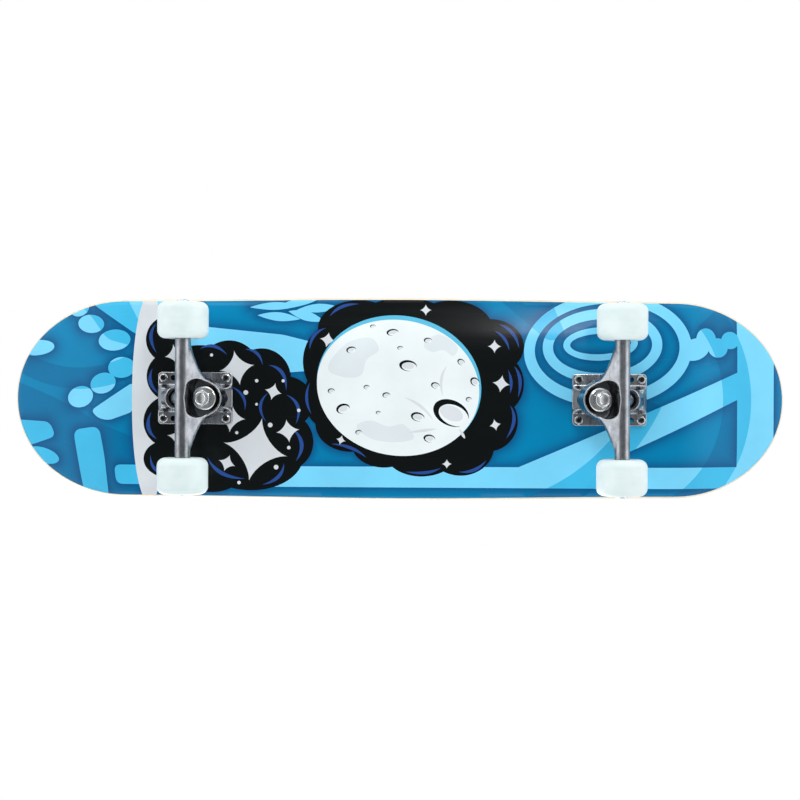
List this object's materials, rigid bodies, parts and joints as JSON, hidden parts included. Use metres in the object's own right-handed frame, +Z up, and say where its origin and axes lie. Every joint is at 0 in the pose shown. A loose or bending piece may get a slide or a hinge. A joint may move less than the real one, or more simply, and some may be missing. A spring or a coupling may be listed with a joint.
{
  "type": "skateboard",
  "caption": "Street skateboard: concave maple deck with raised nose and tail, grip tape, cast trucks that steer on bushings, and urethane wheels that spin on bearings.",
  "frame": {"origin": "on the ground under the middle of the deck, with the wheels standing on Z = 0", "axes": "+X towards the nose, +Y to the rider's left, +Z up"},
  "size_m": [0.805, 0.2064, 0.1379],
  "materials": {
    "maple_deck": "seven-ply maple, clear lacquer",
    "grip_tape": "black grit",
    "cast_aluminium": "polished casting",
    "plated_steel": "bright zinc plate",
    "black_steel": "black oxide",
    "ground_steel": "ground and oiled",
    "bushing_urethane": "black satin",
    "wheel_urethane": "white satin urethane"
  },
  "bodies": {
    "board": {"deck": "maple_deck", "grip_tape": "grip_tape", "bolt_front_inner_left": "black_steel", "bolt_front_inner_right": "black_steel", "bolt_front_outer_left": "black_steel", "bolt_front_outer_right": "black_steel", "bolt_rear_inner_left": "black_steel", "bolt_rear_inner_right": "black_steel", "bolt_rear_outer_left": "black_steel", "bolt_rear_outer_right": "black_steel", "nut_front_inner_left": "plated_steel", "nut_front_inner_right": "plated_steel", "nut_front_outer_left": "plated_steel", "nut_front_outer_right": "plated_steel", "nut_rear_inner_left": "plated_steel", "nut_rear_inner_right": "plated_steel", "nut_rear_outer_left": "plated_steel", "nut_rear_outer_right": "plated_steel", "baseplate_front": "cast_aluminium", "pivot_cup_front": "bushing_urethane", "kingpin_front": "plated_steel", "bushing_board_front": "bushing_urethane", "bushing_road_front": "bushing_urethane", "washer_board_front": "plated_steel", "washer_road_front": "plated_steel", "kingpin_nut_front": "plated_steel", "baseplate_rear": "cast_aluminium", "pivot_cup_rear": "bushing_urethane", "kingpin_rear": "plated_steel", "bushing_board_rear": "bushing_urethane", "bushing_road_rear": "bushing_urethane", "washer_board_rear": "plated_steel", "washer_road_rear": "plated_steel", "kingpin_nut_rear": "plated_steel"},
    "hanger_front": {"hanger_front": "cast_aluminium", "axle_front": "ground_steel", "bearing_sleeve_front_left": "ground_steel", "axle_nut_front_left": "plated_steel", "bearing_sleeve_front_right": "ground_steel", "axle_nut_front_right": "plated_steel"},
    "hanger_rear": {"hanger_rear": "cast_aluminium", "axle_rear": "ground_steel", "bearing_sleeve_rear_left": "ground_steel", "axle_nut_rear_left": "plated_steel", "bearing_sleeve_rear_right": "ground_steel", "axle_nut_rear_right": "plated_steel"},
    "wheel_front_left": {"wheel_front_left": "wheel_urethane", "bearing_race_front_left_inner": "ground_steel", "bearing_race_front_left_outer": "ground_steel"},
    "wheel_front_right": {"wheel_front_right": "wheel_urethane", "bearing_race_front_right_inner": "ground_steel", "bearing_race_front_right_outer": "ground_steel"},
    "wheel_rear_left": {"wheel_rear_left": "wheel_urethane", "bearing_race_rear_left_inner": "ground_steel", "bearing_race_rear_left_outer": "ground_steel"},
    "wheel_rear_right": {"wheel_rear_right": "wheel_urethane", "bearing_race_rear_right_inner": "ground_steel", "bearing_race_rear_right_outer": "ground_steel"}
  },
  "joints": [
    {"name": "steer_front", "type": "hinge", "parent": "board", "child": "hanger_front", "pos_m": [0.22685, 0, 0.0625], "axis": [-0.904, 0, -0.4276], "range_deg": [-12, 12], "stiffness_Nm_per_rad": 40, "deforming": ["bushing_board_front", "bushing_road_front"]},
    {"name": "steer_rear", "type": "hinge", "parent": "board", "child": "hanger_rear", "pos_m": [-0.23165, 0, 0.0625], "axis": [0.904, 0, -0.4276], "range_deg": [-12, 12], "stiffness_Nm_per_rad": 40, "deforming": ["bushing_board_rear", "bushing_road_rear"]},
    {"name": "spin_front_left", "type": "hinge", "parent": "hanger_front", "child": "wheel_front_left", "pos_m": [0.21335, 0, 0.025], "axis": [0, 1, 0], "continuous": true},
    {"name": "spin_front_right", "type": "hinge", "parent": "hanger_front", "child": "wheel_front_right", "pos_m": [0.21335, 0, 0.025], "axis": [0, 1, 0], "continuous": true},
    {"name": "spin_rear_left", "type": "hinge", "parent": "hanger_rear", "child": "wheel_rear_left", "pos_m": [-0.21815, 0, 0.025], "axis": [0, 1, 0], "continuous": true},
    {"name": "spin_rear_right", "type": "hinge", "parent": "hanger_rear", "child": "wheel_rear_right", "pos_m": [-0.21815, 0, 0.025], "axis": [0, 1, 0], "continuous": true}
  ]
}
